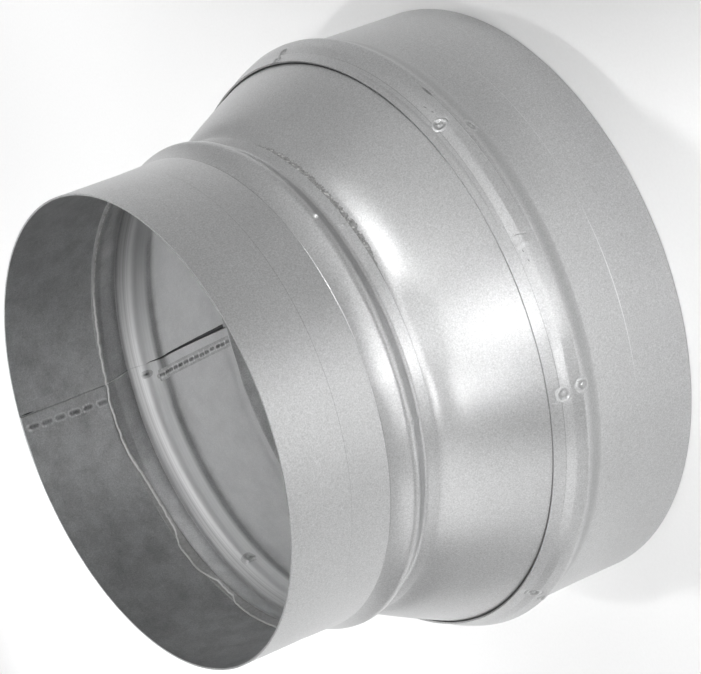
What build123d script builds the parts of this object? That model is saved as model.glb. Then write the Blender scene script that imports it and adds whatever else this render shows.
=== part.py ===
from build123d import *

import os
from math import degrees

# Duct reducer of galvanised sheet, standing on its large rim with the small end up.
# Origin: centre of the large rim. +Z is the duct's axis, +Y the side of the lap seams. Millimetres.

# Overall sizes
small_diameter = 159.0  # outside of the small spigot, for a 160 mm duct
large_diameter = 199.0  # outside of the large spigot, for a 200 mm duct
overall_length = 143.0  # rim to rim
sheet = 0.6  # thickness of the galvanised sheet
film = 0.3  # mastic between two sheets that lie on each other

# Small collar: runs along the axis, one after another from its rim down, and swells outward from the spigot
small_plain = 23.0  # plain spigot, to the roll line
small_ramp = 14.3  # to the crease
small_bead_rise = 8.6  # to the crest of the bead
small_bead_fall = 5.3  # to the groove
small_crease_swell = 0.4
small_crest_swell = 3.9
small_groove_swell = 0.0
small_lip_length = 4.4  # from the corner of the groove, along the cone
small_neck_overlap = 3.0  # the cone's neck stands this far past the crease, inside the small collar

# Large collar: runs along the axis, one after another from its rim up, and swells outward from the spigot
large_plain = 22.5  # plain spigot, to the roll line
large_ramp = 15.5  # to the foot of the bead
large_bead_rise = 6.1  # to the crest of the bead
large_bead_fall = 4.4  # to the root of the bead
large_flat = 2.8  # to the crease
large_foot_swell = 0.25
large_crest_swell = 2.6
large_root_swell = 0.25
large_crease_swell = -0.3
large_lip_length = 4.2  # from the crease, along the cone
large_lip_press = 0.2  # how far the lip's edge is pressed towards the cone
large_neck_run = 2.4  # the cone's large neck, past the root of the bead

# Bend radii of the outside: positive over a crest, negative in a hollow
roll_line_bend = -2.0
small_crease_bend = -1.0
small_crest_bend = 4.0
small_groove_bend = -3.0
large_crease_bend = 1.6
large_root_bend = -3.0
large_crest_bend = 5.0
large_foot_bend = -7.0

# Lengthwise lap seams, all at the same place round the axis
seam_angle = 90.0  # the sheet's edge inside
lap_width = 12.0
lap_step = 0.55  # how far the lapped sheet stands in from the wall
joggle_width = 9.0  # run over which the lapped sheet steps back into the wall
lap_end_gap = 2.5  # the lap of a collar stops this far from the neck or the bead
cone_lap_gap = 3.4  # the cone's lap stops this far from the bends at both ends

# Mastic squeezed out of the joints
neck_bead_run = 1.6  # along the collar's wall, past the neck's edge
lip_bead_run = 0.8  # along the cone, past the small collar's lip
large_film_start = 0.6  # the mastic of the large joint starts this far past the crease

# Press marks: round dimples in pairs on the large bead, placed by hand round the joint
press_angles = [-139.0, -94.7, -42.0, -3.0, 44.0, 92.0, 136.0, 178.0]
press_diameter = 4.0
press_depth = 0.3

# Corners of the outside, as if one line ran from the small rim down to the large rim: (radius, height)
small_radius = small_diameter / 2
small_rim = Vector(small_radius, overall_length)
small_roll_line = Vector(small_radius, small_rim.Y - small_plain)
small_crease = Vector(small_radius + small_crease_swell, small_roll_line.Y - small_ramp)
small_crest = Vector(small_radius + small_crest_swell, small_crease.Y - small_bead_rise)
small_groove = Vector(small_radius + small_groove_swell, small_crest.Y - small_bead_fall)
large_radius = large_diameter / 2
large_rim = Vector(large_radius, 0)
large_roll_line = Vector(large_radius, large_rim.Y + large_plain)
large_foot = Vector(large_radius + large_foot_swell, large_roll_line.Y + large_ramp)
large_crest = Vector(large_radius + large_crest_swell, large_foot.Y + large_bead_rise)
large_root = Vector(large_radius + large_root_swell, large_crest.Y + large_bead_fall)
large_crease = Vector(large_radius + large_crease_swell, large_root.Y + large_flat)


def inward(start, end):
    """Unit normal of a run of the line, towards the axis."""
    along = (end - start).normalized()
    return Vector(along.Y, -along.X)


def at_height(start, end, height):
    """Point on the run from start to end at a height."""
    return start + (end - start) * ((height - start.Y) / (end.Y - start.Y))


def parallel(corners, depth):
    """Corners of the line moved a depth towards the axis, square to each run."""
    normals = [inward(a, b) for a, b in zip(corners, corners[1:])]
    normals = [normals[0]] + normals + [normals[-1]]
    return [
        corner + (before + after) * (depth / (1 + before.dot(after)))
        for corner, before, after in zip(corners, normals, normals[1:])
    ]


def layer(corners, bends, depth, thickness):
    """Section of a layer that starts a depth under the line and is a thickness deep."""
    with BuildSketch(Plane.XZ) as section:
        with BuildLine():
            near = FilletPolyline(*parallel(corners, depth), radius=[abs(b - depth) for b in bends])
            deep = depth + thickness
            far = FilletPolyline(*parallel(corners, deep), radius=[abs(b - deep) for b in bends])
            Line(near @ 0, far @ 0)
            Line(near @ 1, far @ 1)
        make_face()
    return section.sketch


def lap_section(height, wall_radius):
    """Section across the axis of a lapped sheet end inside a wall of the given inner radius."""
    face_radius = wall_radius - lap_step
    root_radius = wall_radius + sheet / 2
    lap_angle = degrees(lap_width / wall_radius)
    joggle_angle = degrees(joggle_width / wall_radius)
    with BuildSketch(Plane.XY.offset(height)) as section:
        with BuildLine():
            face = CenterArc((0, 0), face_radius, seam_angle, lap_angle)
            root = CenterArc((0, 0), root_radius, seam_angle, lap_angle + joggle_angle)
            Line(face @ 0, root @ 0)
            Line(face @ 1, root @ 1)
        make_face()
    return section.sketch


# The cone's run, shared by the lips that lie on it
cone_run = (large_crease - small_groove).normalized()
small_lip = small_groove + cone_run * small_lip_length
large_lip = large_crease - cone_run * large_lip_length + inward(small_groove, large_crease) * large_lip_press
small_neck = at_height(small_roll_line, small_crease, small_crease.Y + small_neck_overlap)
large_neck = large_root + (large_crest - large_root).normalized() * large_neck_run
under = sheet + film  # depth of the cone's outside under the collars' outside

# Lines of the five pieces
small_collar_line = [small_rim, small_roll_line, small_crease, small_crest, small_groove, small_lip]
small_collar_bends = [roll_line_bend, small_crease_bend, small_crest_bend, small_groove_bend]
large_collar_line = [large_lip, large_crease, large_root, large_crest, large_foot, large_roll_line, large_rim]
large_collar_bends = [
    large_crease_bend,
    large_root_bend,
    large_crest_bend,
    large_foot_bend,
    roll_line_bend,
]
cone_line = [small_neck, small_crease, small_crest, small_groove, large_crease, large_root, large_neck]
cone_bends = [
    small_crease_bend,
    small_crest_bend,
    small_groove_bend,
    large_crease_bend,
    large_root_bend,
]

# Small collar: rolled spigot with bead, groove and lip, and its lap seam inside the plain part
with BuildPart() as small_collar:
    add(layer(small_collar_line, small_collar_bends, 0, sheet))
    revolve(axis=Axis.Z)
    lap_bottom = small_neck.Y + lap_end_gap
    add(lap_section(lap_bottom, small_radius - sheet))
    extrude(amount=overall_length - lap_bottom)
small_collar.part.label = "small_collar"

# Cone: tapering sheet with a neck at each end, and its lap seam inside the tapering part
cone_inside = parallel(cone_line, under + sheet)
cone_lap_top = cone_inside[cone_line.index(small_groove)] + cone_run * cone_lap_gap
cone_lap_bottom = cone_inside[cone_line.index(large_crease)] - cone_run * cone_lap_gap
with BuildPart() as cone:
    add(layer(cone_line, cone_bends, under, sheet))
    revolve(axis=Axis.Z)
    add(lap_section(cone_lap_top.Y, cone_lap_top.X))
    add(lap_section(cone_lap_bottom.Y, cone_lap_bottom.X))
    loft()
cone.part.label = "cone"

# Press marks: one dimple on the crest of the large bead and one on the flat between crease and root
press_ball = (press_diameter**2 / 4 + press_depth**2) / (2 * press_depth)
crest_centre = parallel(large_collar_line, large_crest_bend)[large_collar_line.index(large_crest)]
crest_ball = crest_centre + Vector(large_crest_bend + press_ball - press_depth, 0)
flat_middle = (large_crease + large_root) / 2
flat_ball = flat_middle - inward(large_crease, large_root) * (press_ball - press_depth)
press_spots = [
    Rotation(0, 0, angle) * Pos(ball.X, 0, ball.Y)
    for ball in (crest_ball, flat_ball)
    for angle in press_angles
]

# Large collar: lip, crease, bead with press marks and rolled spigot, and its lap seam inside the plain part
with BuildPart() as large_collar:
    add(layer(large_collar_line, large_collar_bends, 0, sheet))
    revolve(axis=Axis.Z)
    add(lap_section(0, large_radius - sheet))
    extrude(amount=large_foot.Y - lap_end_gap)
    with Locations(*press_spots):
        Sphere(press_ball, mode=Mode.SUBTRACT)
large_collar.part.label = "large_collar"

# Mastic in the small joint: a film between collar and neck, and a bead along each of its two edges
film_line = [small_neck, small_crease, small_crest, small_groove, small_lip]
wall_corner = parallel(film_line, sheet)[0]
neck_corner = parallel(film_line, under + sheet)[0]
bead_end = wall_corner + (small_roll_line - small_crease).normalized() * neck_bead_run
lip_corner = parallel(film_line, sheet / 2)[-1]
cone_corner = parallel(film_line, under)[-1]
crumb_end = cone_corner + cone_run * lip_bead_run
with BuildPart() as small_joint_sealant:
    add(layer(film_line, small_collar_bends[1:], sheet, film))
    with BuildSketch(Plane.XZ):
        Polygon(wall_corner, neck_corner, bead_end, align=None)
        Polygon(lip_corner, cone_corner, crumb_end, align=None)
    revolve(axis=Axis.Z)
small_joint_sealant.part.label = "small_joint_sealant"

# Mastic in the large joint: a film between the collar and the cone's large neck
large_film = large_crease + (large_root - large_crease).normalized() * large_film_start
with BuildPart() as large_joint_sealant:
    add(layer([large_film, large_root, large_neck], [large_root_bend], sheet, film))
    revolve(axis=Axis.Z)
large_joint_sealant.part.label = "large_joint_sealant"

os.makedirs("parts", exist_ok=True)
for piece in (small_collar, cone, large_collar, small_joint_sealant, large_joint_sealant):
    export_step(piece.part, f"parts/{piece.part.label}.step")
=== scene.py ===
import math

import bpy
import numpy as np
from mathutils import Matrix, Vector, noise


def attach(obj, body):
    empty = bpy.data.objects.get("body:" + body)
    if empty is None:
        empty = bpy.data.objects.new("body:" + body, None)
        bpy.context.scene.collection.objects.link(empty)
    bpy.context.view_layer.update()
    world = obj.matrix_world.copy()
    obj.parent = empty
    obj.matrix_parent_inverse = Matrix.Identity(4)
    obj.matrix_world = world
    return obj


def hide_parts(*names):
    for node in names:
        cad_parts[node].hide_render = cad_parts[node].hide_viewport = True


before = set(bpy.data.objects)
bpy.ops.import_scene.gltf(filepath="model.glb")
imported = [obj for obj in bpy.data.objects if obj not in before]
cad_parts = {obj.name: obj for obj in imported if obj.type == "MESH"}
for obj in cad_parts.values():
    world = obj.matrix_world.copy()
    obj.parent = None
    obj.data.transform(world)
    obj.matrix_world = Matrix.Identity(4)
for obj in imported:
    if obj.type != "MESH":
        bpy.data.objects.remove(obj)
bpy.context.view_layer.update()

# Worn duct reducer of galvanised sheet: three rolled sheets and the mastic of their two joints.
# Shapes are in millimetres and degrees, and places of lamps in metres.
MM = 0.001

# Sizes of the part's source
small_diameter = 159.0
large_diameter = 199.0
overall_length = 143.0
sheet = 0.6
film = 0.3
small_plain = 23.0
small_ramp = 14.3
small_bead_rise = 8.6
small_bead_fall = 5.3
small_crease_swell = 0.4
small_crest_swell = 3.9
small_lip_length = 4.4
small_neck_overlap = 3.0
large_plain = 22.5
large_ramp = 15.5
large_flat = 2.8
large_foot_swell = 0.25
large_lip_length = 4.2
large_neck_run = 2.4
large_film_start = 0.6
under = sheet + film  # depth of the cone's outside under the collars' outside
cone_radius = (small_diameter + large_diameter) / 4  # half way along

# Large bead as in the photo: fuller in front than the source's, its lip's edge further off the cone
large_bead_rise = 6.6
large_bead_fall = 3.9
large_crest_swell = 2.5
large_root_swell = 1.0
large_crease_swell = -0.5
large_lip_press = -0.15

# Bend radii of the outside: positive over a crest, negative in a hollow. Those of the groove and
# the large bead are this worn one's, most of them sharper than the source's.
roll_line_bend = -2.0
small_crease_bend = -1.0
small_crest_bend = 4.0
small_groove_bend = -2.0
large_crease_bend = -0.8
large_root_bend = 5.0
large_crest_bend = 1.8
large_foot_bend = -2.5

# Worn forms
hollow_depth = 1.0  # of the cone beside the small collar's lip
hollow_place = 4.6  # below the groove
hollow_width_above = 2.3
hollow_width_below = 5.0
belly_rise = 0.3  # of the rest of the cone
belly_start = 6.0  # below the groove
belly_length = 34.0
bead_hollow_depth = 0.3
lip_follows = 0.25  # the small lip's share of the cone's hollow
large_lip_lift = 0.08  # of the large lip's edge, on one stretch

# Lap seams inside. The cone's edge wanders and lifts to its large end: lists of (height, value)
seam_angle = 90.0
small_seam_angle = 91.3
lap_width = 12.0
lap_step = 0.55
joggle_width = 9.0
large_lap_gap = 2.5  # the large collar's lap stops this far from the foot of the bead
cone_gap_depth = 0.4
cone_edge_angle = [
    (46, 92.0), (63, 91.3), (73, 90.9), (83, 90.5), (91, 89.8), (97, 90.2), (109, 90.8),
]
cone_edge_lift = [(46, 1.0), (86, 0.5), (93, 0.22), (109, 0.3)]
cone_gap_width = [(46, 1.25), (63, 0.85), (84, 0.5), (90, 0.28), (92, 0.0)]

# Press marks in pairs on the large bead, as angles round the axis
press_angles = [-139.0, -94.7, -42.0, -3.0, 44.0, 92.0, 136.0, 178.0]
press_reach = 2.5
press_bed_depth = 0.4  # the sheet is let in under each mark

# Edges of the neck and of the squeezed-out mastic inside: lists of (angle, distance from the rim)
neck_edge = [
    (20, 34.6), (65, 35.1), (77, 35.4), (84, 35.1), (91, 34.9),
    (95, 33.9), (101, 33.8), (109, 34.1), (117, 35.8), (125, 36.4),
    (137, 36.2), (150, 36.2), (178, 35.6), (230, 34.6), (300, 35.0),
]
mastic_edge = [
    (20, 34.1), (65, 34.7), (77, 35.0), (84, 34.7), (91, 34.5), (95, 33.4), (101, 33.4),
    (109, 33.7), (117, 35.4), (125, 36.0), (132, 35.5), (136, 33.1), (145, 33.1), (150, 35.7),
    (157, 35.3), (160, 33.4), (169, 32.7), (178, 32.5), (185, 34.8), (230, 34.1), (300, 34.4),
]

# Fineness of the sheets' meshes, and of the lines that marks are placed on
row_spacing = 2.4
bend_step = math.radians(7)
fine_spacing = 0.3
fine_bend_step = math.radians(2)
sharp_angle = math.radians(40)

# Camera, read off the photo
camera_azimuth = 15.8
camera_elevation = 31.43
camera_roll = 111.65
camera_distance = 1171.6
camera_aim = (4.12, 1.17, 57.8)
photo_width = 701
focal_pixels = 3569.5
sensor_width = 36.0


def unit(v):
    return v / np.linalg.norm(v)


def outward(start, end):
    """Unit normal of a run of a line in (radius, height), away from the axis."""
    along = unit(end - start)
    return np.array([-along[1], along[0]])


def corners_of_the_skin():
    """Corners of the outside as one line from rim to rim: name to (radius, height)."""
    small, large = small_diameter / 2, large_diameter / 2
    runs_down = [
        ("small_rim", 0, 0),
        ("small_roll_line", small_plain, 0),
        ("small_crease", small_ramp, small_crease_swell),
        ("small_crest", small_bead_rise, small_crest_swell),
        ("small_groove", small_bead_fall, 0),
    ]
    runs_up = [
        ("large_rim", 0, 0),
        ("large_roll_line", large_plain, 0),
        ("large_foot", large_ramp, large_foot_swell),
        ("large_crest", large_bead_rise, large_crest_swell),
        ("large_root", large_bead_fall, large_root_swell),
        ("large_crease", large_flat, large_crease_swell),
    ]
    found, height = {}, overall_length
    for name, run, swell in runs_down:
        height -= run
        found[name] = np.array([small + swell, height])
    height = 0
    for name, run, swell in runs_up:
        height += run
        found[name] = np.array([large + swell, height])
    run = unit(found["large_crease"] - found["small_groove"])
    away = outward(found["small_groove"], found["large_crease"])
    found["small_lip"] = found["small_groove"] + run * small_lip_length
    found["large_lip"] = found["large_crease"] - run * large_lip_length - away * large_lip_press
    ramp = unit(found["small_roll_line"] - found["small_crease"])
    found["small_neck"] = found["small_crease"] + ramp * small_neck_overlap
    bead = unit(found["large_crest"] - found["large_root"])
    found["large_neck"] = found["large_root"] + bead * large_neck_run
    flat = unit(found["large_root"] - found["large_crease"])
    found["large_film"] = found["large_crease"] + flat * large_film_start
    return found


bends = {
    "small_roll_line": roll_line_bend,
    "small_crease": small_crease_bend,
    "small_crest": small_crest_bend,
    "small_groove": small_groove_bend,
    "large_crease": large_crease_bend,
    "large_root": large_root_bend,
    "large_crest": large_crest_bend,
    "large_foot": large_foot_bend,
    "large_roll_line": roll_line_bend,
}
skin = corners_of_the_skin()
heights_of = {name: corner[1] for name, corner in skin.items()}
small_collar_line = [
    "small_rim",
    "small_roll_line",
    "small_crease",
    "small_crest",
    "small_groove",
    "small_lip",
]
cone_line = [
    "small_neck",
    "small_crease",
    "small_crest",
    "small_groove",
    "large_crease",
    "large_root",
    "large_neck",
]
large_collar_line = [
    "large_lip",
    "large_crease",
    "large_root",
    "large_crest",
    "large_foot",
    "large_roll_line",
    "large_rim",
]
small_film_line = ["small_neck", "small_crease", "small_crest", "small_groove", "small_lip"]
large_film_line = ["large_film", "large_root", "large_neck"]


def rolled_line(names, spacing=row_spacing, turn_step=bend_step):
    """Points of a line with rounded corners and their outward normals, both in (radius, height)."""
    corner = [skin[n] for n in names]
    points, normals = [], []

    def straight(start, end, normal):
        count = max(1, math.ceil(np.linalg.norm(end - start) / spacing))
        for i in range(count + 1):
            points.append(start + (end - start) * i / count)
            normals.append(normal)

    here = corner[0]
    for i in range(1, len(corner)):
        normal = outward(corner[i - 1], corner[i])
        if i == len(corner) - 1:
            straight(here, corner[i], normal)
            break
        after = outward(corner[i], corner[i + 1])
        turn = math.atan2(normal[0] * after[1] - normal[1] * after[0], normal @ after)
        radius = abs(bends[names[i]])
        reach = radius * math.tan(abs(turn) / 2)
        start = corner[i] - unit(corner[i] - corner[i - 1]) * reach
        straight(here, start, normal)
        side = math.copysign(radius, bends[names[i]])
        centre = start - normal * side
        steps = max(2, math.ceil(abs(turn) / turn_step))
        for k in range(1, steps):
            c, s = math.cos(turn * k / steps), math.sin(turn * k / steps)
            n = np.array([c * normal[0] - s * normal[1], s * normal[0] + c * normal[1]])
            points.append(centre + n * side)
            normals.append(n)
        here = corner[i] + unit(corner[i + 1] - corner[i]) * reach
    return np.array(points), np.array(normals)


def lengths(points):
    """Distance along a line at each of its points."""
    return np.concatenate([[0], np.cumsum(np.linalg.norm(np.diff(points, axis=0), axis=1))])


def off(angle, centre):
    """Difference of two angles, from -180 to 180."""
    return (angle - centre + 180) % 360 - 180


def columns(count, dense=()):
    """A row of angles round the axis, with finer stretches of (centre, half width, spacing)."""
    angles = np.arange(count) * 360.0 / count
    for centre, half, spacing in dense:
        fine = centre + np.linspace(-half, half, round(2 * half / spacing) + 1)
        angles = np.concatenate([angles[abs(off(angles, centre)) > half], fine])
    return np.sort(angles % 360)[None, :]


def smooth(x, low, high):
    """0 below low, 1 above high and a soft step between them. low can be the higher one."""
    t = np.clip((x - low) / (high - low), 0, 1)
    return t * t * (3 - 2 * t)


def band(x, start, full, fade, end):
    """1 from full to fade, with soft steps to 0 at start and end."""
    return smooth(x, start, full) * (1 - smooth(x, fade, end))


def bell(x, centre, width):
    """1 at a centre, falling off on both sides."""
    return np.exp(-(((x - centre) / width) ** 2))


def read_off(pairs, x, period=None):
    """Value at x of a list of (x, value)."""
    return np.interp(x, *zip(*pairs), period=period)


def ripple(angle, height, seed, size, around, along, waves=14):
    """Smooth unevenness: waves with up to around periods round the axis and about along mm long."""
    draw = np.random.RandomState(seed)
    total = np.zeros(np.broadcast(angle, height).shape)
    for _ in range(waves):
        turns = draw.randint(1, around + 1)
        rise = draw.uniform(-1, 1) * 2 * math.pi / along
        start = draw.uniform(0, 2 * math.pi)
        total += np.cos(turns * np.radians(angle) + rise * height + start) / math.sqrt(turns)
    return total * size / 4


def lumps(grid, size, seed):
    """Lumpy noise from -1 to 1 at points, with lumps of about the given size."""
    flat = grid.reshape(-1, 3) / size + seed
    return np.array([noise.noise(Vector(p)) for p in flat]).reshape(grid.shape[:-1])


def revolved(radius, height, angle):
    """Points from radii, heights and angles round the axis."""
    shape = np.broadcast(radius, height, angle).shape
    values = (radius, height, np.radians(angle))
    radius, height, angle = (np.broadcast_to(x, shape) for x in values)
    return np.stack([radius * np.cos(angle), radius * np.sin(angle), height], -1)


def out_of_round(angle, height):
    """How far a rolled duct is off its circle."""
    slow = ripple(angle, height, seed=3, size=0.16, around=4, along=260)
    return slow + ripple(angle, height, seed=8, size=0.05, around=12, along=70)


def lap(along, lift, wall_radius):
    """Inward step of a lapped sheet end: sharp at the seam's edge, easing back into the wall."""
    width, ease = np.degrees(lap_width / wall_radius), np.degrees(joggle_width / wall_radius)
    return -lift * (along >= 0) * (1 - smooth(along, width, width + ease))


def drawn_in(height):
    """Hollow where the cone leaves the small collar's lip, and a faint belly after it."""
    past = heights_of["small_groove"] - height
    width = np.where(past < hollow_place, hollow_width_above, hollow_width_below)
    hollow = -hollow_depth * bell(past, hollow_place, width)
    swept = np.clip((past - belly_start) / belly_length, 0, 1)
    return hollow + belly_rise * np.sin(math.pi * swept)


def bead_hollow(height):
    """The rising face of the small bead is a little hollow, so that it is steepest by the crest."""
    crease, crest = heights_of["small_crease"], heights_of["small_crest"]
    risen = np.clip((crease - height) / (crease - crest), 0, 1)
    return -bead_hollow_depth * np.sin(math.pi * risen)


def small_outside(angle, height):
    """Out of round, with the lip bent a little into the hollow of the cone."""
    return out_of_round(angle, height) + bead_hollow(height) + lip_follows * drawn_in(height)


def small_inside(angle, height):
    """The outside's form, with the lap inside the plain part."""
    on = height > heights_of["small_crease"]
    step = lap(off(angle, small_seam_angle), lap_step, small_diameter / 2)
    return small_outside(angle, height) + step * on


def cone_outside(angle, height):
    """Out of round, with the hollow by the small lip and the faint belly."""
    return out_of_round(angle, height) + bead_hollow(height) + drawn_in(height)


def past_cone_edge(angle, height):
    """Angle past the edge of the cone's lapped sheet end."""
    return off(angle, read_off(cone_edge_angle, height))


def cone_gap(angle, height):
    """1 in the dark gap along the cone's lapped edge, 0 elsewhere."""
    past = np.radians(past_cone_edge(angle, height)) * cone_radius
    width = read_off(cone_gap_width, height)
    return ((past < 0.02) & (past > -width)) * smooth(width, 0.0, 0.1)


def cone_inside(angle, height):
    """The outside's form, with the lap and the gap along its edge."""
    step = lap(past_cone_edge(angle, height), read_off(cone_edge_lift, height), cone_radius)
    return cone_outside(angle, height) + step + cone_gap_depth * cone_gap(angle, height)


def neck_slide(angle, height):
    """Moves the neck's edge along the axis to where the photo shows it."""
    crease, top = heights_of["small_crease"], heights_of["small_neck"]
    target = overall_length - read_off(neck_edge, angle % 360, 360)
    share = np.clip((height - crease - 0.3) / (top - crease - 0.3), 0, 1)
    return share * (np.maximum(target, crease + 0.8) - top)


def on_neck(past):
    """1 on the cone's neck inside, 0 on the rest of the cone."""
    return 1 - smooth(past, 44.6, 45.6)


def ridge_wear(angle, height):
    """1 on the ridge inside, between bead and cone, which the rolling wheel has rubbed."""
    return band(overall_length - height, 45.2, 45.7, 54.4, 55.8)


def cone_dark_and_painted_shade(angle, height):
    """Dark marks inside the cone: painted shade in the seam's gap, in a band behind the ridge, and
    on the ridge and its flank on one side of the seam; the neck darker on one side of the seam.
    """
    past, from_seam = overall_length - height, off(angle, seam_angle)
    neck_darkening = 0.2 + 0.22 * band(from_seam, -35, -12, 5, 40)
    neck = neck_darkening * on_neck(past) * (1 - smooth(from_seam, 10, 55))
    # Painted shade: the ridge's flank and one side of the ridge, the band behind it, and the seam's
    # gap below
    flank = 0.16 * band(past, 45.2, 46.2, 48.4, 50.2) * (1 - smooth(from_seam, 30, 60))
    behind = 0.42 * band(past, 55.2, 56.0, 58.4, 60.8)
    ridge_side_shade = 0.5 * ridge_wear(angle, height) * (1 - smooth(from_seam, -40, 4)) * (from_seam > -90)
    darkening = np.clip(neck + flank + behind + ridge_side_shade, 0, 0.8)
    return np.maximum(0.85 * cone_gap(angle, height), darkening)


def cone_painted_light(angle, height):
    """Painted light inside the cone: a painted highlight on the ridge's top, and one side of the
    neck and the tapering part painted lighter.
    """
    past, from_seam = overall_length - height, off(angle, seam_angle)
    top = 0.7 * band(past, 48.8, 50.6, 54.8, 55.6)
    neck = 0.22 * on_neck(past) * band(from_seam, 20, 70, 90, 120)
    return top + neck + 0.5 * smooth(past, 59.5, 62)


def press_spots():
    """Centres of the press marks on the large collar: (angle, distance along its line).

    They lie in pairs on the bead's crest and flat. Those that show are where the photo has them.
    """
    points = rolled_line(large_collar_line, fine_spacing)[0]
    run = lengths(points)
    crest = run[np.argmax(points[:, 0])]
    middle = (skin["large_crease"] + skin["large_root"]) / 2
    flat = run[np.argmin(np.linalg.norm(points - middle, axis=1))]
    moved = {
        (-139.0, crest): (-146.5, crest),
        (-139.0, flat): (-144.3, flat),
        (-42.0, crest): (-43.6, crest + 2.6),
        (-42.0, flat): (-40.6, flat),
        (-94.7, flat): (-95.5, flat - 0.6),
        (-3.0, crest): (7.8, flat - 0.3),
        (-3.0, flat): (7.2, 1.5),
    }
    marks = [(angle, spot) for angle in press_angles for spot in (crest, flat)]
    return [moved.get(mark, mark) for mark in marks]


spots = press_spots()


def large_outside(angle, height):
    """Out of round, with the lip's edge standing a little higher on one stretch."""
    stretch = band(off(angle, -8), -32, -20, 20, 40)
    on_lip = smooth(height, heights_of["large_crease"], heights_of["large_lip"])
    return out_of_round(angle, height) + large_lip_lift * stretch * on_lip


def large_inside(angle, height):
    """The outside's form, with the lap inside the plain part."""
    on = height < heights_of["large_foot"] - large_lap_gap
    step = lap(off(angle, seam_angle), lap_step, large_diameter / 2)
    return large_outside(angle, height) + step * on


def large_bedded(angle, height):
    """The outside, let in under the press marks."""
    points = rolled_line(large_collar_line, fine_spacing, fine_bend_step)[0]
    run = np.interp(-height, -points[:, 1], lengths(points))
    total = large_outside(angle, height)
    for at, spot in spots:
        away = np.hypot(np.radians(off(angle, at)) * large_diameter / 2, run - spot)
        total = total - press_bed_depth * (1 - smooth(away, 1.6, 2.6))
    return total


def large_painted_shade(height):
    """Painted shade: a faint dark band behind the large bead, in place of a dark reflection there.
    """
    return 0.17 * band(height, 37.6, 39.4, 42.2, 43.6)


class Face:
    """A face of a rolled sheet: a line of the skin, a depth under it and a shift off its circle."""

    def __init__(self, names, depth, shift):
        points, normals = rolled_line(names, fine_spacing, fine_bend_step)
        self.run = lengths(points)
        self.radius, self.height = points.T
        self.out, self.rise = normals.T
        self.depth, self.shift = depth, shift

    def at(self, angle, run, lift=0.0):
        """Points at angles and distances along the line, lifted outward."""
        lines = (self.radius, self.height, self.out, self.rise)
        radius, height, out, rise = (np.interp(run, self.run, line) for line in lines)
        move = self.shift(angle, height) + lift - self.depth
        return revolved(radius + out * move, height + rise * move, angle)

    def run_at(self, height):
        """Distance along the line at a height."""
        return np.interp(-height, self.rise * self.depth - self.height, self.run)

    def radius_at(self, run):
        """Radius of the line at a distance along it."""
        return np.interp(run, self.run, self.radius)


# Marks on the sheets: dark and bright carry weld burns, dirt, spatter and scratches, and also
# painted shade and painted highlights; inside and worn carry stains and wear
mark_names = ("dark", "bright", "inside", "worn")


class Piece:
    """Points, faces and marks of one piece, gathered from several grids."""

    def __init__(self):
        self.points, self.faces, self.marks, self.count = [], [], [], 0

    def add(self, grid, closed_rows=False, closed_columns=True, **given):
        """A grid and its marks. Seen from outside, columns run to the right when rows run down."""
        rows, width = grid.shape[:2]
        i = np.arange(rows if closed_rows else rows - 1)[:, None]
        j = np.arange(width if closed_columns else width - 1)[None, :]
        below, beside = (i + 1) % rows, (j + 1) % width
        corners = (i * width + j, below * width + j, below * width + beside, i * width + beside)
        self.faces.append(np.stack(corners, -1).reshape(-1, 4) + self.count)
        self.points.append(grid.reshape(-1, 3))
        marks = [np.broadcast_to(given.get(m, 0.0), (rows, width)).ravel() for m in mark_names]
        self.marks.append(np.stack(marks))
        self.count += rows * width

    def make(self, name, node, material):
        """The piece's object, riding on the part in place of a CAD node."""
        mesh = bpy.data.meshes.new(name)
        points = np.concatenate(self.points) * MM
        mesh.from_pydata(points.tolist(), [], np.concatenate(self.faces).tolist())
        for title, values in zip(mark_names, np.concatenate(self.marks, axis=1)):
            mark = mesh.attributes.new(title, "FLOAT", "POINT")
            mark.data.foreach_set("value", values.astype(np.float32))
        mesh.shade_smooth()
        mesh.set_sharp_from_angle(angle=sharp_angle)
        mesh.materials.append(material)
        made = bpy.data.objects.new(name, mesh)
        bpy.context.scene.collection.objects.link(made)
        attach(made, "root")
        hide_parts(node)


def layer(names, angle, depth, shift, slide=None):
    """Points of a line rolled round the axis, a depth under the skin."""
    points, normals = rolled_line(names)
    height = points[:, 1:]
    move = shift(angle, height) - depth
    along = 0 if slide is None else slide(angle, height)
    radius = points[:, :1] + normals[:, :1] * move
    return revolved(radius, height + along + normals[:, 1:] * move, angle)


def rolled_sheet(
    piece, names, depth, angle, outside, inside, slide=None, painted_outside_shade=None, **inside_marks
):
    """A sheet rolled along a line, a depth under the skin. angle has one row or one a point.

    outside and inside shift its faces off their circle, and slide moves them along the axis.
    Painted shade can be laid on the outside by height, and inside_marks are the marks of the
    inside.
    """
    front = layer(names, angle, depth, outside, slide)
    back = layer(names, angle, depth + sheet, inside, slide)
    height = rolled_line(names)[0][:, 1:]
    clean = np.zeros(front.shape[:2])
    marks = {
        name: np.concatenate([clean, (clean + mark(angle, height))[::-1]])
        for name, mark in inside_marks.items()
    }
    if painted_outside_shade:
        marks["dark"] = np.concatenate([clean + painted_outside_shade(height), clean])
    within = np.repeat([0.0, 1.0], len(height))[:, None]
    piece.add(np.concatenate([front, back[::-1]]), closed_rows=True, inside=within, **marks)


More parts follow.
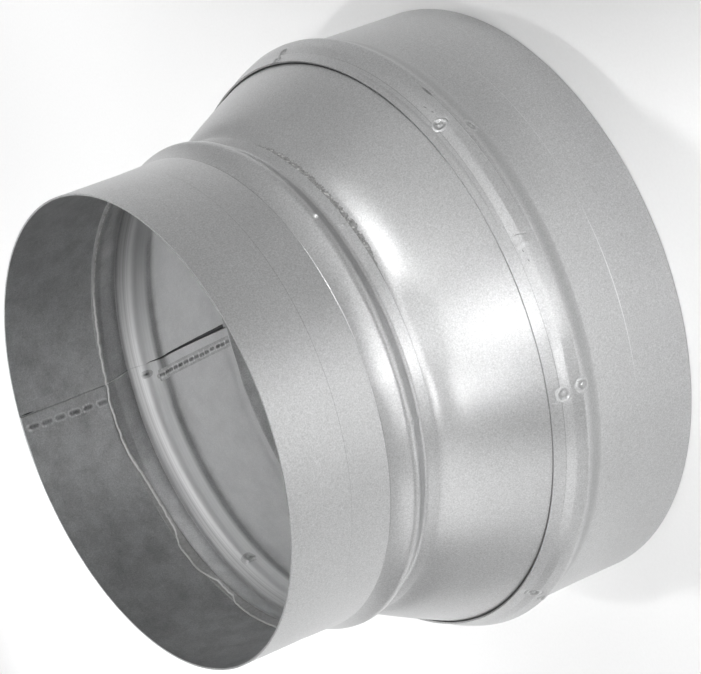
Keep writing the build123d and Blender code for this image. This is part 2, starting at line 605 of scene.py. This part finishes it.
def dimple(piece, face, angle, run, reach, form, turns, dark=None, bright=None, out=1, rough=0.0):
    """A round mark on a face: form gives the lift at a distance from its centre, its edge sinks in.

    turns varies its outline, and out is -1 for a face inside.
    """
    skirt = 0.7
    rings = np.linspace(0, reach, 26)
    away = np.concatenate([rings, [reach + skirt / 2, reach + skirt]])[:, None]
    phi = -out * np.linspace(0, 2 * math.pi, 44, endpoint=False)[None, :]
    true = away / (1 + 0.09 * np.cos(2 * phi + turns) + 0.06 * np.cos(3 * phi + 2.3 * turns))
    around = np.degrees(away * np.cos(phi) / face.radius_at(run))
    place = (angle + around, run + away * np.sin(phi))
    uneven = rough * lumps(face.at(*place), 0.8, 7) * (1 - smooth(away, 0.6 * reach, reach))
    sunk = 0.25 * smooth(away, reach + 0.1, reach + skirt)
    grid = face.at(*place, out * (form(true) + uneven + 0.02 - sunk))
    marks = {name: mark(true) for name, mark in (("dark", dark), ("bright", bright)) if mark}
    piece.add(grid, inside=float(out < 0), **marks)


def bump(height, radius):
    """A low round bump."""
    return lambda away: height * bell(away, 0, radius)


def crater(height, radius):
    """A small dent with a raised rim."""
    return lambda away: height * bell(away, radius, 0.45 * radius)


def press_form(away):
    """Press mark: a low raised rim round a dish with a low dome in the middle."""
    return 0.1 * bell(away, 2.05, 0.32) - 0.2 * bell(away, 0.95, 0.62) - 0.06 * bell(away, 0, 0.6)


# Painted shade in the dish of each press mark
def press_painted_shade(away):
    return 0.3 * bell(away, 1.2, 0.5)


# Painted highlight on the raised rim of each press mark
def press_painted_highlight(away):
    return 0.2 * bell(away, 2.05, 0.3)


def sliver(piece, face, start, end, width, lift, dark=0.0, bright=0.0, out=1):
    """A thin line from one (angle, height) to another, for scratches, burrs and dirt, and for
    painted highlights and painted shade along edges, creases and gaps. out is -1 for a face inside.
    """
    spacing = 0.5
    runs = [float(face.run_at(height)) for angle, height in (start, end)]
    radius = face.radius_at(runs[0])
    step = np.array([math.radians(end[0] - start[0]) * radius, runs[1] - runs[0]])
    length = np.linalg.norm(step)
    t = np.linspace(0, 1, max(4, round(length / spacing)))[:, None]
    across = out * np.array([-1.0, -0.45, 0.0, 0.45, 1.0])[None, :]
    taper = np.sqrt(np.clip(np.sin(math.pi * np.clip(t, 0.02, 0.98)), 0, 1))
    side = across * width / 2 * taper
    angle = start[0] + (end[0] - start[0]) * t + np.degrees(side * step[1] / length / radius)
    run = runs[0] + (runs[1] - runs[0]) * t - side * step[0] / length
    rise = out * ((1 - across**2) * lift + 0.012 - 0.06 * (abs(across) > 0.9))
    shade = (1 - across**2) ** 0.5 * taper
    marks = {"dark": dark * shade, "bright": bright * shade, "inside": float(out < 0)}
    piece.add(face.at(angle, run, rise), closed_columns=False, **marks)


def weld(piece, face, heights, angles, pitch, dash, half_width, spatter, burn, seed):
    """A row of dark weld dashes along a seam inside, with bright specks of spatter beside them."""
    half_strip, step_across, step_along = 2.4, 0.12, 0.14
    draw = np.random.RandomState(seed)
    run = np.arange(face.run_at(heights[0]), face.run_at(heights[1]), step_along)[::-1]
    v = (run - run.min())[:, None]
    u = np.arange(-half_strip, half_strip + 0.01, step_across)[None, :]
    middle = np.interp(run, [run.min(), run.max()], angles)[:, None]
    angle = middle + np.degrees(u / face.radius_at(run)[:, None])
    length = v.max()
    burnt, pale = np.zeros((2, len(run), u.size))
    flakes = []
    for i in range(int(length / pitch)):
        centre, aside = (i + 0.5) * pitch + draw.normal(0, 0.15), draw.normal(0, 0.08)
        half = dash / 2 * draw.uniform(0.9, 1.08)
        past_end = np.maximum(abs(v - centre) - half + half_width, 0)
        away = np.hypot(past_end, u - aside) / half_width
        burnt = np.maximum(burnt, burn * draw.uniform(0.65, 1) * (1 - smooth(away, 0.3, 1.25)))
        pale = np.maximum(pale, draw.uniform(0.2, 0.5) * bell(away, 1.4, 0.3))
        for side in (-1, 1):
            flakes.append((centre - half, draw.uniform(0.5, 1.1) * side, draw.uniform(0.25, 0.5)))
    for _ in range(spatter):
        side = 1 if draw.uniform() < 0.65 else -1
        at = length * draw.uniform() ** 1.5
        beside = side * (half_width + draw.uniform(-0.2, 0.6))
        flakes.append((at, beside, draw.uniform(0.15, 0.36)))
    flakes.append((1.2, 0.9, 0.6))
    specks = np.zeros_like(burnt)
    for at, beside, size in flakes:
        speck = np.exp(-((v - at) ** 2 + (u - beside) ** 2) / size**2)
        specks = np.maximum(specks, speck * min(1, size / 0.5))
    rough = lumps(face.at(angle, run[:, None]), 0.7, seed)
    burnt = np.clip(burnt * (1 + 0.5 * rough), 0, 1) * (1 - specks)
    ends = smooth(abs(v - length / 2), length / 2 - 0.5, length / 2)
    edge = np.maximum(smooth(abs(u), 1.9, half_strip), ends)
    lift = -(0.04 + 0.05 * burnt + 0.02 * rough + 0.25 * specks) + 0.25 * edge
    bright = np.clip(pale + specks * 0.8, 0, 1) * (1 - burnt)
    grid = face.at(angle, run[:, None], lift)
    piece.add(grid, closed_columns=False, dark=burnt, bright=bright, inside=1.0)


def wrinkle(piece, face, angle_at, heights):
    """A fold across the face of the large bead, where the sheet steps a little, with painted shade
    along the fold's line.
    """
    half_strip, step_across, step_along = 4.5, 0.12, 0.13
    run = np.arange(face.run_at(heights[0]), face.run_at(heights[1]), step_along)[:, None]
    u = np.arange(-half_strip, half_strip + 0.01, step_across)[None, :]
    angle = angle_at + np.degrees(u / face.radius_at(run))
    v = (run - run.min()) / (run.max() - run.min())
    near = band(v, 0.05, 0.35, 0.6, 0.95)
    line = u - 0.5 * np.sin(v * 5)
    fold = -0.14 * bell(line, 0, 0.16) * near
    step = 0.1 * near * (1 - smooth(line, -0.1, 0.2)) * (1 - smooth(abs(u), 2.5, 4.2))
    edge = np.maximum(smooth(abs(u), 4.0, half_strip), smooth(abs(v - 0.5), 0.45, 0.5))
    grid = face.at(angle, run, 0.02 + fold + step - 0.2 * edge)
    # The dark mark is painted shade along the fold
    piece.add(grid, closed_columns=False, dark=0.75 * bell(line, 0, 0.2) * near)


def squeezed_mastic(piece, wall, neck):
    """Mastic pressed out along the neck's edge inside the small collar, ragged on the wall, with a
    painted highlight along its edge; it is darker throughout, with painted shade on one side.
    """
    angle = columns(1200)
    ring = revolved(70.0, 0.0, angle)
    ragged = lumps(ring, 2.2, 5)[0] + 0.6 * lumps(ring, 0.8, 9)[0]
    start = overall_length - (read_off(mastic_edge, angle, 360) + 0.28 * ragged)
    end = overall_length - (read_off(neck_edge, angle, 360) + 0.6)
    t = np.linspace(0, 1, 11)[::-1][:, None]
    height = start + (end - start) * t
    down = start - height
    wall_radius = small_diameter / 2 - sheet + wall.shift(angle, height)
    neck_radius = small_diameter / 2 - under - sheet + neck.shift(angle, height)
    full = wall_radius - neck_radius + 0.1
    swell = (full - 0.3) * smooth(down / (start - end), 0.15, 0.9)
    form = 0.3 * smooth(down, 0, 0.3) + swell
    radius = wall_radius + 0.05 - form + 0.12 * smooth(t, 0.9, 1.0)
    rough = 0.09 * lumps(revolved(radius, height, angle), 1.1, 3) * smooth(t, 0, 0.2)
    # A painted highlight along the edge, and the mastic darker, with painted shade on one side
    edge = (1 - smooth(down, 0.25, 0.55)) * (0.15 + 0.65 * smooth(off(angle, 80), -22, -4))
    mastic_darkening = (0.7 - 0.4 * smooth(off(angle, 100), 5, 20)) * (1 - edge)
    piece.add(revolved(radius + rough, height, angle), bright=edge, dark=mastic_darkening)


def mastic_crumbs(piece, cone):
    """Mastic along the small lip outside: dirty crumbs on one stretch, a thin line elsewhere, with
    painted glints on the crumbs' tops and painted shade between them.
    """
    middle, half = -33, 32
    angle = columns(360, [(middle, half, 0.13)])
    zone = band(off(angle, middle), -half, -16, 14, 30)
    ring = revolved(84.0, 0.0, angle)
    ragged = 0.5 + 0.6 * lumps(ring, 1.9, 2)[0] + 0.5 * lumps(ring, 0.7, 6)[0]
    width = 0.35 + zone * np.clip(1.0 + 1.3 * ragged, 0, 3.0)
    t = np.linspace(0, 1, 14)[:, None]
    run = cone.run_at(heights_of["small_lip"]) + 0.1 + (width + 0.35) * t
    base = cone.at(angle, run)
    fall = (1.25 + 0.3 * zone * ragged) * (1 - smooth(t, 0.05, 1.0))
    coarse, fine = lumps(base, 0.9, 4), lumps(base, 0.45, 8)
    crumb = zone * (0.5 * coarse + 0.3 * fine) * band(t, 0, 0.2, 0.85, 1)
    grid = cone.at(angle, run, np.maximum(fall + crumb, 0.05) - 0.15 * smooth(t, 0.9, 1))
    # Painted glints on the crumbs' tops, and dirt with painted shade between them
    painted_glint = zone * smooth(lumps(base, 0.8, 12), 0.25, 0.45)
    soot_and_painted_shade = zone * (0.12 + 0.4 * smooth(-coarse - fine, 0.1, 0.7))
    piece.add(grid, bright=painted_glint, dark=soot_and_painted_shade * (1 - painted_glint))


def mastic_film(piece, names):
    """The film of mastic between a collar and the cone, a hair thinner than their gap."""
    hair = 0.02
    angle = columns(180)
    front = layer(names, angle, sheet + hair, small_outside)
    back = layer(names, angle, under - hair, small_outside)
    piece.add(np.concatenate([front, back[::-1]]), closed_rows=True)


class Shader:
    """A material and its nodes. Values are numbers or sockets."""

    def __init__(self, name):
        self.material = bpy.data.materials.new(name)
        self.material.use_nodes = True
        self.nodes, self.links = self.material.node_tree.nodes, self.material.node_tree.links
        self.surface = self.nodes["Principled BSDF"].inputs
        self.place = self.nodes.new("ShaderNodeTexCoord").outputs["Object"]

    def put(self, socket, value):
        if isinstance(value, (int, float)):
            socket.default_value = value
        else:
            self.links.new(value, socket)

    def noise(self, scale, detail, roughness=0.5):
        made = self.nodes.new("ShaderNodeTexNoise")
        made.inputs["Scale"].default_value = scale
        made.inputs["Detail"].default_value = detail
        made.inputs["Roughness"].default_value = roughness
        self.links.new(self.place, made.inputs["Vector"])
        return made.outputs["Fac"]

    def rings(self, scale, detail):
        """Noise that changes only along the axis."""
        split = self.nodes.new("ShaderNodeSeparateXYZ")
        self.links.new(self.place, split.inputs[0])
        made = self.nodes.new("ShaderNodeTexNoise")
        made.noise_dimensions = "1D"
        made.inputs["Scale"].default_value = scale
        made.inputs["Detail"].default_value = detail
        self.links.new(split.outputs["Z"], made.inputs["W"])
        return made.outputs["Fac"]

    def mark(self, name):
        made = self.nodes.new("ShaderNodeAttribute")
        made.attribute_name = name
        return made.outputs["Fac"]

    def remap(self, value, low, high, to_low, to_high):
        made = self.nodes.new("ShaderNodeMapRange")
        names = ("Value", "From Min", "From Max", "To Min", "To Max")
        for name, given in zip(names, (value, low, high, to_low, to_high)):
            self.put(made.inputs[name], given)
        return made.outputs["Result"]

    def combine(self, operation, a, b):
        made = self.nodes.new("ShaderNodeMath")
        made.operation = operation
        for socket, value in zip(made.inputs, (a, b)):
            self.put(socket, value)
        return made.outputs[0]

    def mix(self, factor, a, b):
        made = self.nodes.new("ShaderNodeMix")
        for socket, value in zip(made.inputs[:1] + made.inputs[2:4], (factor, a, b)):
            self.put(socket, value)
        return made.outputs[0]

    def colour(self, level, tint):
        """Gives the surface a grey level with a slight tint."""
        made = self.nodes.new("ShaderNodeCombineColor")
        for channel, part in zip(("Red", "Green", "Blue"), tint):
            self.put(made.inputs[channel], self.combine("MULTIPLY", level, part))
        self.put(self.surface["Base Color"], made.outputs["Color"])

    def relief(self, height, strength, distance):
        """Gives the surface a fine relief."""
        made = self.nodes.new("ShaderNodeBump")
        made.inputs["Strength"].default_value = strength
        made.inputs["Distance"].default_value = distance
        self.put(made.inputs["Height"], height)
        self.put(self.surface["Normal"], made.outputs["Normal"])


def galvanised():
    """Zinc-coated sheet: satin grey with fine grain, clouds and uneven gloss, dark at the welds,
    with painted highlights and painted shade carried by the bright and dark marks.
    """
    shader = Shader("galvanised_sheet")
    grain = shader.noise(scale=2100, detail=3, roughness=0.7)
    speck = shader.noise(scale=620, detail=2)
    cloud = shader.noise(scale=40, detail=4)
    stain = shader.noise(scale=120, detail=4, roughness=0.65)
    rubbed = shader.rings(scale=2600, detail=3)
    dark, bright, inside, worn = (shader.mark(name) for name in mark_names)
    level = shader.remap(grain, 0.25, 0.75, 0.4, 0.68)
    level = shader.combine("MULTIPLY", level, shader.remap(cloud, 0.3, 0.7, 0.97, 1.03))
    level = shader.combine("MULTIPLY", level, shader.remap(speck, 0.3, 0.7, 0.98, 1.02))
    stained = shader.combine("MULTIPLY", level, shader.remap(stain, 0.4, 0.7, 1.06, 0.8))
    level = shader.mix(inside, level, stained)
    level = shader.mix(worn, level, shader.remap(rubbed, 0.3, 0.7, 0.56, 0.74))
    # The bright mark gives pale spatter and scratches and painted highlights; the dark mark gives
    # weld burns and dirt and painted shade
    level = shader.mix(bright, level, 0.85)
    level = shader.mix(dark, level, 0.045)
    shader.colour(level, (0.995, 1.0, 1.005))
    shader.put(shader.surface["Metallic"], 1.0)
    clouded = shader.remap(cloud, 0.3, 0.7, 0.31, 0.36)
    rough = shader.combine("ADD", clouded, shader.remap(grain, 0.25, 0.75, -0.03, 0.05))
    rough = shader.mix(worn, rough, 0.56)
    shader.put(shader.surface["Roughness"], shader.mix(dark, rough, 0.7))
    shader.relief(grain, strength=0.3, distance=0.00004)
    return shader.material


def mastic():
    """Grey sealing mastic, dried and a little lumpy, with painted glints on the crumbs, a painted
    highlight along its squeezed edge, and dirt and painted shade.
    """
    shader = Shader("mastic")
    lump = shader.noise(scale=900, detail=4, roughness=0.6)
    fine = shader.noise(scale=3200, detail=2)
    level = shader.remap(lump, 0.3, 0.7, 0.28, 0.4)
    level = shader.combine("MULTIPLY", level, shader.remap(fine, 0.3, 0.7, 0.9, 1.1))
    # Dark: dirt and painted shade; bright: painted glints and a painted highlight
    level = shader.mix(shader.mark("dark"), level, 0.07)
    level = shader.mix(shader.mark("bright"), level, 0.6)
    shader.colour(level, (1.0, 1.0, 0.99))
    shader.put(shader.surface["Roughness"], shader.remap(lump, 0.3, 0.7, 0.32, 0.5))
    shader.relief(lump, strength=0.5, distance=0.0002)
    return shader.material


steel = galvanised()
seal = mastic()

# Small collar, with finer columns at its seam
small_piece = Piece()
small_out = Face(small_collar_line, 0, small_outside)
small_in = Face(small_collar_line, sheet, small_inside)
small_angles = columns(560, [(small_seam_angle, 1.0, 0.04)])
rolled_sheet(small_piece, small_collar_line, 0, small_angles, small_outside, small_inside)
weld(
    small_piece,
    small_in,
    heights=(142.2, 109.4),
    angles=(94.3, 95.1),
    pitch=5.45,
    dash=4.3,
    half_width=0.85,
    spatter=12,
    burn=0.62,
    seed=11,
)
# Painted shade in the gap under the lap's edge by the rim
sliver(small_piece, small_in, (90.9, 142.9), (90.9, 137.2), width=0.8, lift=0.02, dark=0.95, out=-1)

# Its bumps and dents outside, the first with a painted glint: angle, height, reach, form, turns,
# bright
for angle, height, reach, form, turns, bright in (
    (-43.3, 96.8, 1.9, bump(0.7, 0.65), 0.4, bump(1.0, 0.7)),
    (-46.8, 89.2, 1.3, bump(0.1, 0.5), 1.4, None),
    (-93.2, 96.2, 2.2, crater(0.16, 1.1), 2.4, None),
    (-93.6, 93.2, 2.0, crater(0.14, 1.0), 1.1, None),
):
    run = small_out.run_at(height)
    dimple(small_piece, small_out, angle, run, reach, form, turns, bright=bright)

# Its lines outside, painted shade with a painted highlight along the crease and painted shade along
# the roll line: two ends as (angle, height), width, lift, dark, bright
for line in (
    ((-2, 105.6), (-46, 105.6), 0.4, 0.0, 0.4, 0.0),
    ((-42, 105.5), (-76, 105.5), 0.5, 0.07, 0.0, 0.9),
    ((-76, 105.6), (-126, 105.6), 0.4, 0.0, 0.4, 0.0),
    ((-8, 118.2), (-128, 120.6), 0.4, 0.0, 0.3, 0.0),
):
    sliver(small_piece, small_out, *line)
small_piece.make("small_collar_sheet", "small_collar", steel)

# Cone: its columns follow the slanting edge of the seam, and its neck's edge wanders
cone_piece = Piece()
cone_out = Face(cone_line, under, cone_outside)
cone_in = Face(cone_line, under + sheet, cone_inside)
cone_heights = rolled_line(cone_line)[0][:, 1:]
even = columns(560, [(seam_angle, 2.0, 0.045)])
follow = 1 - smooth(abs(off(even, seam_angle)), 4, 18)
cone_angles = even + (read_off(cone_edge_angle, cone_heights) - seam_angle) * follow
rolled_sheet(
    cone_piece,
    cone_line,
    under,
    cone_angles,
    cone_outside,
    cone_inside,
    neck_slide,
    dark=cone_dark_and_painted_shade,
    bright=cone_painted_light,
    worn=ridge_wear,
)
# Painted highlight and painted shade along the edge of the ridge inside
sliver(cone_piece, cone_in, (93, 97.9), (170, 98.3), width=0.5, lift=0.1, bright=0.5, out=-1)
sliver(cone_piece, cone_in, (30, 97.3), (90, 97.3), width=0.5, lift=0.05, dark=0.6, out=-1)
weld(
    cone_piece,
    cone_in,
    heights=(88.6, 44.5),
    angles=(94.0, 94.8),
    pitch=3.4,
    dash=3.3,
    half_width=0.68,
    spatter=24,
    burn=0.72,
    seed=23,
)
# Painted highlight along the lap's edge
sliver(cone_piece, cone_in, (90.9, 108.8), (90.3, 97.8), width=0.5, lift=0.08, bright=0.7, out=-1)

# Its dents and bumps inside: angle, height, reach, form, turns, dark, bright
for angle, height, reach, form, turns, dark, bright in (
    (147.6, 90.9, 2.2, crater(0.3, 1.1), 0.9, bump(0.5, 0.6), None),
    (92.4, 92.6, 1.3, crater(0.06, 0.8), 1.9, bump(0.9, 0.55), None),
    (94.0, 88.6, 1.3, bump(0.3, 0.5), 0.2, None, bump(1.0, 0.5)),
):
    run = cone_in.run_at(height)
    dimple(cone_piece, cone_in, angle, run, reach, form, turns, dark, bright, out=-1)
cone_piece.make("cone_sheet", "cone", steel)

# Large collar, with finer columns at the press marks and on the lap
large_piece = Piece()
large_out = Face(large_collar_line, 0, large_outside)
finer = [(angle, 2.0, 0.25) for angle in sorted({angle for angle, run in spots})]
finer.append((seam_angle + 6, 0.5, 0.25))
rolled_sheet(
    large_piece,
    large_collar_line,
    0,
    columns(480, finer),
    large_bedded,
    large_inside,
    # Painted shade behind the bead, on the outside
    painted_outside_shade=large_painted_shade,
)
for i, (angle, run) in enumerate(spots):
    dimple(
        large_piece,
        large_out,
        angle,
        run,
        press_reach,
        press_form,
        turns=1.7 * i,
        dark=press_painted_shade,
        bright=press_painted_highlight,
        rough=0.14,
    )
wrinkle(large_piece, large_out, -66.0, (51.6, 45.6))

# Its lines, scratches and dirt outside, and painted shade and painted highlights on its lip,
# crease, roll line and crest: two ends as (angle, height), width, lift, dark, bright
for line in (
    # Painted shade on the lip
    ((-16, 53.2), (-66, 53.0), 2.0, 0.0, 0.12, 0.0),
    # Painted shade along the crease
    ((0, 51.5), (-60, 51.5), 0.4, 0.0, 0.35, 0.0),
    ((-58, 51.5), (-125, 51.5), 0.4, 0.0, 0.35, 0.0),
    # Painted highlights along the roll line
    ((-20, 22.6), (-64, 22.4), 0.35, 0.03, 0.0, 0.4),
    ((-62, 22.5), (-99, 22.2), 0.5, 0.05, 0.0, 0.75),
    # A scratch
    ((-43.0, 41.2), (-44.6, 39.6), 0.7, 0.08, 0.0, 1.0),
    # Dirt with painted shade along the crest
    ((-27.5, 45.6), (-64, 45.2), 0.5, 0.02, 0.35, 0.0),
    # Dirt spots
    ((-31.5, 45.7), (-35.0, 45.6), 1.2, 0.03, 0.6, 0.0),
    ((-35.4, 49.8), (-36.4, 49.4), 0.6, 0.03, 0.6, 0.0),
    ((-37.2, 49.4), (-38.0, 48.8), 0.7, 0.03, 0.6, 0.0),
    ((-68.5, 49.9), (-69.3, 49.6), 0.5, 0.02, 0.5, 0.0),
    ((-70.4, 49.6), (-71.2, 49.2), 0.6, 0.02, 0.5, 0.0),
):
    sliver(large_piece, large_out, *line)
large_piece.make("large_collar_sheet", "large_collar", steel)

# Mastic of the two joints
mastic_piece = Piece()
mastic_film(mastic_piece, small_film_line)
squeezed_mastic(mastic_piece, small_in, cone_in)
mastic_crumbs(mastic_piece, cone_out)
mastic_piece.make("small_joint_mastic", "small_joint_sealant", seal)
large_mastic = Piece()
mastic_film(large_mastic, large_film_line)
large_mastic.make("large_joint_mastic", "large_joint_sealant", seal)


def toward(azimuth, elevation):
    """Unit direction from an azimuth, counted from +X, and an elevation."""
    a, e = math.radians(azimuth), math.radians(elevation)
    return Vector((math.cos(a) * math.cos(e), math.sin(a) * math.cos(e), math.sin(e)))


def camera_axes():
    """The camera's right, up and back directions. Its azimuth is counted from -Y."""
    a, e, r = (math.radians(x) for x in (camera_azimuth, camera_elevation, camera_roll))
    back = Vector((math.sin(a) * math.cos(e), -math.cos(a) * math.cos(e), math.sin(e)))
    upright = (Vector((0, 0, 1)) - back * back.z).normalized()
    level = upright.cross(back)
    up = upright * math.cos(r) + level * math.sin(r)
    return up.cross(back), up, back


def add_camera():
    right, up, back = camera_axes()
    data = bpy.data.cameras.new("camera")
    data.sensor_width = sensor_width
    data.lens = focal_pixels * sensor_width / photo_width
    data.clip_end = 50
    made = bpy.data.objects.new("camera", data)
    place = Vector(camera_aim) * MM + back * (camera_distance * MM)
    turn = Matrix((right, up, back)).transposed().to_4x4()
    made.matrix_world = Matrix.Translation(place) @ turn
    bpy.context.scene.collection.objects.link(made)
    bpy.context.scene.camera = made


def add_floor():
    """A wide pale floor, a hair under the part's rim."""
    radius, hair = 4.0, 0.0003
    around = np.radians(np.arange(0, 360, 5))
    rim = np.stack([np.cos(around), np.sin(around), np.zeros_like(around)], -1) * radius
    mesh = bpy.data.meshes.new("floor")
    mesh.from_pydata(rim.tolist(), [], [list(range(len(rim)))])
    made = bpy.data.objects.new("floor", mesh)
    made.location.z = -hair
    shader = Shader("floor")
    shade = shader.remap(shader.noise(scale=900, detail=3), 0.3, 0.7, 0.87, 0.89)
    shader.colour(shade, (1.0, 1.0, 1.0))
    shader.put(shader.surface["Roughness"], 0.9)
    mesh.materials.append(shader.material)
    bpy.context.scene.collection.objects.link(made)


def add_lamp(name, kind, azimuth, elevation, power, size, aim, distance, soft=0.08):
    """A soft lamp that faces a point. size is a panel's side in metres or a spot's angle."""
    back = toward(azimuth, elevation)
    data = bpy.data.lights.new(name, kind)
    data.energy = power
    if kind == "AREA":
        data.size = size
    else:
        data.spot_size = math.radians(size)
        data.spot_blend = 0.7
        data.shadow_soft_size = soft
    made = bpy.data.objects.new(name, data)
    made.location = Vector(aim) + back * distance
    made.rotation_mode = "QUATERNION"
    made.rotation_quaternion = back.to_track_quat("Z", "Y")
    made.visible_camera = False
    bpy.context.scene.collection.objects.link(made)


def add_world(level):
    world = bpy.data.worlds.new("studio")
    bpy.context.scene.world = world
    world.use_nodes = True
    background = world.node_tree.nodes["Background"]
    background.inputs["Color"].default_value = (level, level, level, 1)


add_camera()
add_floor()
add_world(0.52)

# Places that the lamps face
on_middle = (0, 0, 0.07)
on_front = (0.01, -0.07, 0.075)
on_right = (0.05, -0.05, 0.08)
on_shoulder = (0.018, -0.093, 0.055)
on_bead = (0.021, -0.099, 0.046)
on_bead_right = (0.053, -0.086, 0.047)
in_back_half = (0, 0.02, 0.05)
in_front_half = (0, -0.03, 0.05)

# Distances of the lamps, and how high those of the floor stand
panel_distance = 1.5
spot_distance = 1.3
floor_lamp_distance = 0.9
floor_lamp_elevation = 65

# Soft panels: name, azimuth, elevation, power, side
for name, azimuth, elevation, power, side in (
    ("left_panel", -150, 20, 2.7, 1.0),
    ("right_panel", -20, 14, 0.9, 1.4),
):
    add_lamp(name, "AREA", azimuth, elevation, power, side, on_middle, panel_distance)

# Spots on the part: name, azimuth, elevation, power, angle, place, softness
for name, azimuth, elevation, power, angle, place, soft in (
    ("front_low", -88, 13, 4, 8, on_front, 0.08),
    ("front_right", -72, 17, 2.5, 8, on_front, 0.08),
    ("front_shoulder", -82, 18, 6.5, 4, on_shoulder, 0.08),
    ("front_bead", -84, 9, 9, 2.5, on_bead, 0.08),
    ("front_bead_right", -64, 9, 6, 2.5, on_bead_right, 0.08),
    ("front_left", -105, 22, 5.2, 8, on_front, 0.08),
    ("right_low", -55, 22, 2.2, 8, on_right, 0.08),
    ("right_high", -36, 40, 13, 8, on_right, 0.08),
    ("right_soft", -22, 33, 18, 9, on_right, 0.25),
    ("right_front_soft", -48, 30, 10, 9, on_right, 0.25),
    ("far_right_soft", -6, 32, 7, 9, on_right, 0.2),
    ("front_high", -80, 40, 3, 8, on_front, 0.08),
    ("into_the_opening", -105, 73, 47, 8, in_back_half, 0.08),
    ("into_the_opening_back", 80, 62, 47, 8, in_front_half, 0.08),
):
    add_lamp(name, "SPOT", azimuth, elevation, power, angle, place, spot_distance, soft)

# Spots on the floor round the part: azimuth, power, angle, place
for azimuth, power, angle, place in (
    (-170, 15, 24, (-0.27, -0.05, 0)),
    (-130, 9, 24, (-0.17, -0.21, 0)),
    (-95, 16, 26, (-0.02, -0.34, 0)),
    (-84, 5, 24, (0.02, -0.27, 0)),
    (-82, 21, 13, (0.03, -0.28, 0)),
    (-82, 16, 7, (0.02, -0.158, 0)),
    (45, 8, 24, (0.2, 0.2, 0)),
    (100, 15.5, 34, (-0.02, 0.3, 0)),
    (135, 19, 34, (-0.25, 0.25, 0)),
):
    name = f"floor_{azimuth}_{angle}"
    add_lamp(name, "SPOT", azimuth, floor_lamp_elevation, power, angle, place, floor_lamp_distance)

bpy.context.scene.view_settings.view_transform = "Standard"
